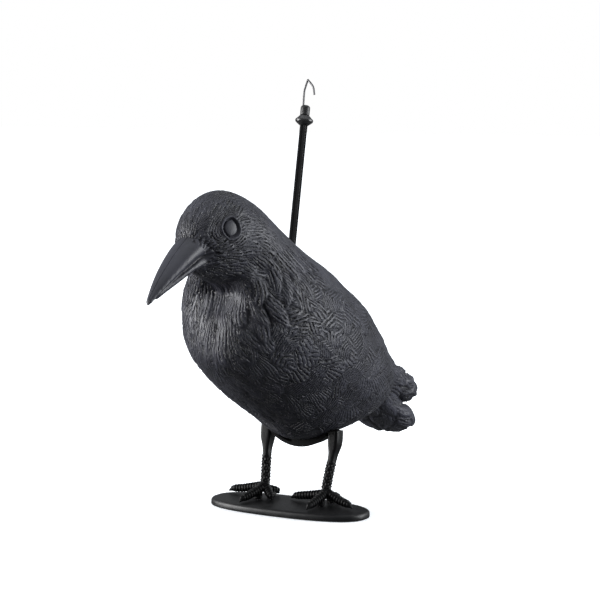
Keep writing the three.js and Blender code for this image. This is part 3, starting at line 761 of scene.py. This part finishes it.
# Legs with scales and toes
leg = {
    "voxel": 0.36,
    "ankle": [25, 9, 15],
    "tarsus": 3.3,
    "toe": 3.1,
    "floor": 3.35,
    "scaleRow": 2.1,
    "toeRing": 2.5,
    # toe tips from the ankle, left and back, and how high the toe arches
    "toesLeft": [[-30, 2, 0.9], [-1, -27, 1.0], [25, -8, 1.0], [2, 15, 0.8]],
    "toesRight": [[-32, 2, 1.0], [-4.4, -29, 1.0], [12, -11, 1.0], [5, 11, 0.8]],
    "screwReach": [8.5, 5.5],  # on the middle front toe and on the back toe, from the ankle
    "pad": 6.4,
    "padHigh": 6.0,
    "screwHole": 3.3,
    "screwTop": 9.8,
}


def screwSpots(sign, toes):
    spots = []
    for (dx, dy, _), reach in zip((toes[1], toes[3]), leg["screwReach"]):
        share = reach / math.hypot(dx, dy)
        spots.append((sign * leg["ankle"][0] + dx * share, leg["ankle"][1] + dy * share))
    return spots


def makeLeg(name, sign, toes, node):
    hipX = hips["spacing"] / 2
    ax, ay, az = leg["ankle"]
    thin = leg["tarsus"]
    knee = [sign * (hipX - 0.6), hips["back"] - 3, hips["high"] - 18]
    calf = [sign * (ax + 1), ay + 3, az + 12]
    ankle = [sign * ax, ay, az]
    heel = [sign * ax, ay - 1, 7]
    shank = limbMesh([
        [sign * hipX, hips["back"], hips["high"], hips["wide"] / 2, hips["deep"] / 2, 6],
        [sign * hipX, hips["back"] - 1, hips["high"] - 9, hips["wide"] / 2, hips["deep"] / 2, 6],
        [*knee, 2.9, 3.9, 3], [*calf, thin, thin, 2], [*ankle, thin, thin, 2], [*heel, thin, thin, 2],
    ], 48, 120)
    parts = [shank]
    parts += [moved(pinMesh(leg["pad"], leg["floor"], leg["floor"] + leg["padHigh"]), shift=(x, y, 0))
              for x, y in screwSpots(sign, toes)]
    paths = []
    for dx, dy, rise in toes:
        far = math.hypot(dx, dy)
        path = []
        for f, high, thick in ((0, 8.64 * rise, 1), (0.3, 6.2 * rise, 1), (0.6, 4.2, 0.92), (0.84, 3.1, 0.8),
                               (0.93, 1.9, 0.42), (1, 0.75, 0.12)):
            path.append([sign * ax + dx * f, ay + dy * f, leg["floor"] + high, leg["toe"] * thick,
                         leg["toe"] * thick, 2])
        parts.append(limbMesh(path, 32, 70, (-dy / far, dx / far, 0)))
        paths.append(path)
    obj = makeObject(name, *parts)
    remesh(obj, leg["voxel"])
    edges = edgesOf(obj)
    points = pointsOf(obj)
    for strength in (0.5, -0.52, 0.5, -0.52, 0.5):
        points = relaxed(points, edges, 1, strength)
    setPoints(obj, points)
    normals = normalsOf(obj)
    relief = np.zeros(len(points))
    # knobbly scales round the lower shank
    axisAt = smoothAlong([heel, ankle, calf, knee], np.linspace(0, 3, 60))
    k = np.argmin(np.abs(points[:, 2][:, None] - axisAt[:, 2]), axis=1)
    off = points - axisAt[k]
    isShank = np.hypot(off[:, 0], off[:, 1]) < 4.9
    row = points[:, 2] / leg["scaleRow"]
    ring = np.arctan2(off[:, 0], -off[:, 1]) / (2 * math.pi) * 7 + 0.5 * (np.floor(row) % 2)
    knob = np.maximum(0, 1 - 3.2 * ((row % 1 - 0.5) ** 2 + (ring % 1 - 0.5) ** 2))
    scaly = ease((36 - points[:, 2]) / 6) * ease((points[:, 2] - 13) / 3) * isShank
    relief += 0.85 * (knob - 0.4) * scaly
    # rings across the toes
    best = np.full(len(points), 99.0)
    rings = np.zeros(len(points))
    for path in paths:
        line = smoothAlong(path, np.linspace(0, len(path) - 1, 120))[:, :3]
        run = np.concatenate([[0], np.cumsum(np.linalg.norm(np.diff(line, axis=0), axis=1))])
        gap = np.linalg.norm(points[:, None] - line[None], axis=2)
        k = gap.argmin(1)
        nearer = gap.min(1) < best
        best = np.minimum(best, gap.min(1))
        share = run[k] / run[-1]
        wave = np.abs(np.sin(math.pi * run[k] / leg["toeRing"])) ** 0.7
        value = 1.05 * (wave - 0.78) * ease((share - 0.1) / 0.1) * ease((0.86 - share) / 0.04)
        rings = np.where(nearer, value, rings)
    relief += rings * (1 - scaly) * (best < 3.7)
    points = points + normals * relief[:, None]
    points[:, 2] = np.maximum(points[:, 2], leg["floor"])
    setPoints(obj, points)
    for x, y in screwSpots(sign, toes):
        room = pinMesh(leg["screwHole"], 1, leg["screwTop"])
        boolean(obj, makeObject("screwRoom", moved(room, shift=(x, y, 0))))
    shadeSmooth(obj, 70)
    finishWith(obj, legLook, "decoy", node)


makeLeg("legLeft", 1, leg["toesLeft"], "leg_left")
makeLeg("legRight", -1, leg["toesRight"], "leg_right")
print("legs made")

# Foot plate
plate = {
    "long": 123, "deep": 50, "thick": 5, "edge": 2.2, "foot": 0.6, "power": 2.5,
    "screwHead": 6.0, "screwHeadHigh": 1.7,
}


def makePlate():
    turns = np.arange(160) / 160 * 2 * math.pi
    rings = []
    a, b, e = plate["long"] / 2, plate["deep"] / 2, plate["edge"]
    # height and inset of each ring, with the top edge a quarter circle
    profile = [(0, plate["foot"]), (0.15, 0.2), (0.5, 0)]
    profile += [(plate["thick"] - e + e * math.sin(t), e - e * math.cos(t))
                for t in np.linspace(0, 1, 7) * math.pi / 2]
    profile += [(plate["thick"], 8), (plate["thick"], 20)]
    for z, inset in profile:
        x, y = onOutline(turns, a - inset, b - inset, plate["power"])
        rings.append(np.stack([x, y, np.full(len(turns), float(z))], 1))
    obj = makeObject("footPlate", loftMesh(np.array(rings)))
    for x, y in screwSpots(1, leg["toesLeft"]) + screwSpots(-1, leg["toesRight"]):
        hole = pinMesh(leg["screwHole"], -1, 8)
        headHole = pinMesh(plate["screwHead"], -1, plate["screwHeadHigh"])
        boolean(obj, makeObject("screwHole", moved(hole, shift=(x, y, 0))))
        boolean(obj, makeObject("headHole", moved(headHole, shift=(x, y, 0))))
    shadeSmooth(obj, 50)
    finishWith(obj, plateLook, "decoy", "base_plate", 0)


makePlate()
print("plate made")

# Rod, cap and hook
def makeRod():
    half, rib = rod["across"] / 2, rod["rib"] / 2
    corner = math.sqrt(half**2 - rib**2)
    outline = []
    for quarter in range(4):
        turn = math.radians(45 + 90 * quarter)
        tip = math.asin(rib / half)
        for share in (-1, -0.5, 0, 0.5, 1):
            outline.append((half * math.cos(turn + tip * share), half * math.sin(turn + tip * share)))
        inner = turn + math.radians(45)
        outline.append((rib * math.sqrt(2) * math.cos(inner), rib * math.sqrt(2) * math.sin(inner)))
    outline = np.array(outline)
    levels = np.linspace(rod["foot"], rod["collarAt"], 60)
    shaft = loftMesh(np.array([np.column_stack([outline, np.full(len(outline), z)]) for z in levels]))
    low, top = rod["collarAt"] - rod["collarHigh"] / 2, rod["collarAt"] + rod["collarHigh"] / 2
    at, wide = rod["collarAt"], rod["collar"] / 2
    capLow = top + rod["gap"]
    pocketTop = capLow + rod["capHigh"] - rod["capSolid"]
    headTop = pocketTop - rod["gap"]
    headLow = headTop - rod["neckHeadHigh"]
    collar = turnedMesh([
        [0, low], [half - 0.1, low], [half + 0.25, low + 0.05],
        [wide - 1.15, at - 1.75], [wide - 0.25, at - 0.9],
        [wide, at - 0.3], [wide, at + 0.45], [wide - 0.25, at + 1.0], [wide - 1.15, at + 1.75],
        [rod["cap"] / 2 + 0.2, top], [rod["neck"] / 2, top], [rod["neck"] / 2, headLow],
        [rod["neckHead"] / 2, headLow], [rod["neckHead"] / 2 - 0.4, headTop], [0, headTop],
    ], 72)
    obj = makeObject("hangingRod", onRod(shaft))
    boolean(obj, makeObject("collar", onRod(collar)), "UNION")
    shadeSmooth(obj, 35)
    finishWith(obj, rodLook, "rod", "hanging_rod")
    capTop = capLow + rod["capHigh"]
    r = rod["cap"] / 2
    cap = turnedMesh([
        [0, pocketTop], [rod["neckHead"] / 2 + 0.35, pocketTop], [rod["neckHead"] / 2 + 0.35, headLow - 0.35],
        [rod["neck"] / 2 + 0.35, headLow - 0.35], [rod["neck"] / 2 + 0.35, capLow], [r - 0.25, capLow],
        [r, capLow + 0.25], [r, capTop - 2.2], [r - 0.12, capTop - 1.5], [r - 0.45, capTop - 0.9],
        [r - 1.0, capTop - 0.4], [r - 1.9, capTop - 0.06], [r - 2.4, capTop], [0, capTop],
    ], 72)
    capObj = makeObject("swivelCap", onRod(cap))
    hole = pinMesh(rod["wire"] + 2 * rod["gap"], capTop - rod["wireDepth"] - rod["gap"], capTop + 2)
    hole = moved(hole, shift=(-rod["wireOffset"], 0, 0))
    boolean(capObj, makeObject("wireHole", onRod(hole)))
    shadeSmooth(capObj, 40)
    finishWith(capObj, capLook, "hook", "swivel_cap")
    hookTop = capTop + rod["hookHigh"]
    off, thin = rod["wireOffset"], rod["wire"] / 2
    line = [
        [-off, capTop - rod["wireDepth"]], [-off, capTop],
        [-off - 0.3, hookTop - 9], [-off + 0.2, hookTop - 5.5],
        [-0.35, hookTop - 0.6], [0.35, hookTop - 0.6],
        [rod["hookMouth"] - off - 1.6, hookTop - 5], [rod["hookMouth"] - off, hookTop - 10.5],
    ]
    wire = limbMesh([[x, 0, z, thin, thin, 2] for x, z in line], 20, 110, (0, 1, 0))
    hook = makeObject("wireHook", onRod(wire))
    shadeSmooth(hook, 50)
    finishWith(hook, wireLook, "hook", "wire_hook")


makeRod()
print("rod, cap and hook made")

for name, look in (("rod_guide", guideLook), ("cradle", cradleLook)):
    nodes[name].data.materials.clear()
    nodes[name].data.materials.append(look)
for name in nodes:
    if "screw" in name:
        nodes[name].data.materials.clear()
        nodes[name].data.materials.append(screwLook)

# Floor, light and camera
studio = {
    "floor": (0.9, 0.91, 0.93),
    "floorGlowInPaintedShadow": 0.45,  # the floor's glow under the plate, dimmed there as a painted contact shadow
    "paintedShadowReach": (0.05, 0.16),
    "leftPower": 54.0,
    "topPower": 5.0,
    "rightPower": 37.0,
    "frontPower": 0.2,
    "sky": 0.38,
    "below": 0.13,
}


def makeStudio():
    floor = makeObject("floor", ((np.array([[-8000, -8000, -0.3], [8000, -8000, -0.3], [8000, 8000, -0.3],
                                            [-8000, 8000, -0.3]], float)), [[0, 1, 2, 3]]))
    pale = Nodes("paleFloor")
    pale.shader.inputs["Base Color"].default_value = (*studio["floor"], 1)
    pale.shader.inputs["Roughness"].default_value = 0.9
    pale.shader.inputs["Specular IOR Level"].default_value = 0.1
    pale.shader.inputs["Emission Color"].default_value = (0.93, 0.97, 1, 1)
    apart = pale.add("ShaderNodeVectorMath", operation="LENGTH")
    pale.feed(apart, 0, pale.add("ShaderNodeTexCoord").outputs["Object"])
    # the floor glows less near the plate: a painted contact shadow
    glowWithPaintedShadow = pale.spread(apart.outputs["Value"], *studio["paintedShadowReach"], studio["floorGlowInPaintedShadow"], 1.2)
    pale.feed(pale.shader, "Emission Strength", glowWithPaintedShadow)
    floor.data.materials.append(pale.material)
    floor.visible_diffuse = False
    floor.visible_glossy = False

    def softbox(name, at, target, wide, high, power, colour=(1, 1, 1)):
        light = bpy.data.lights.new(name, "AREA")
        light.shape = "RECTANGLE"
        light.size, light.size_y = wide, high
        light.energy = power
        light.color = colour
        lamp = bpy.data.objects.new(name, light)
        lamp.location = at
        lamp.rotation_euler = (Vector(target) - Vector(at)).to_track_quat("-Z", "Y").to_euler()
        bpy.context.scene.collection.objects.link(lamp)

    aim = (0, 0, 0.15)
    softbox("leftLight", (-1.3, -0.8, 0.25), aim, 1.0, 1.3, studio["leftPower"])
    softbox("topLight", (0.0, 0.1, 1.6), aim, 1.5, 1.5, studio["topPower"], (0.96, 0.98, 1))
    softbox("rightLight", (1.4, 0.8, 0.35), aim, 1.2, 1.3, studio["rightPower"], (0.96, 0.98, 1))
    softbox("frontLight", (0.6, -1.6, 0.5), aim, 1.0, 1.0, studio["frontPower"])

    world = bpy.data.worlds.new("studioWorld")
    bpy.context.scene.world = world
    world.use_nodes = True
    tree = world.node_tree
    tree.nodes.clear()
    make = tree.nodes.new
    place = make("ShaderNodeTexCoord")
    split = make("ShaderNodeSeparateXYZ")
    tree.links.new(place.outputs["Generated"], split.inputs[0])
    ramp = make("ShaderNodeMapRange")
    tree.links.new(split.outputs["Z"], ramp.inputs["Value"])
    keys = ("From Min", "From Max", "To Min", "To Max")
    for key, value in zip(keys, (-0.15, 0.6, studio["below"], studio["sky"])):
        ramp.inputs[key].default_value = value
    soft = make("ShaderNodeBackground")
    soft.inputs["Color"].default_value = (0.93, 0.96, 1, 1)
    tree.links.new(ramp.outputs["Result"], soft.inputs["Strength"])
    plain = make("ShaderNodeBackground")
    plain.inputs["Color"].default_value = (1, 1, 1, 1)
    plain.inputs["Strength"].default_value = 1.0
    path = make("ShaderNodeLightPath")
    mix = make("ShaderNodeMixShader")
    out = make("ShaderNodeOutputWorld")
    tree.links.new(path.outputs["Is Camera Ray"], mix.inputs[0])
    tree.links.new(soft.outputs[0], mix.inputs[1])
    tree.links.new(plain.outputs[0], mix.inputs[2])
    tree.links.new(mix.outputs[0], out.inputs["Surface"])

    camera = bpy.data.objects.new("camera", bpy.data.cameras.new("camera"))
    camera.location = (0.700, -1.2124, 0.307)
    camera.rotation_euler = (Vector((0, 0, 0.148)) - camera.location).to_track_quat("-Z", "Y").to_euler()
    camera.data.lens = 120.8
    camera.data.sensor_width = 36
    camera.data.shift_x = 0.0178
    camera.data.shift_y = 0.0037
    bpy.context.scene.collection.objects.link(camera)
    bpy.context.scene.camera = camera
    bpy.context.scene.view_settings.view_transform = "Standard"


makeStudio()
print("studio made")
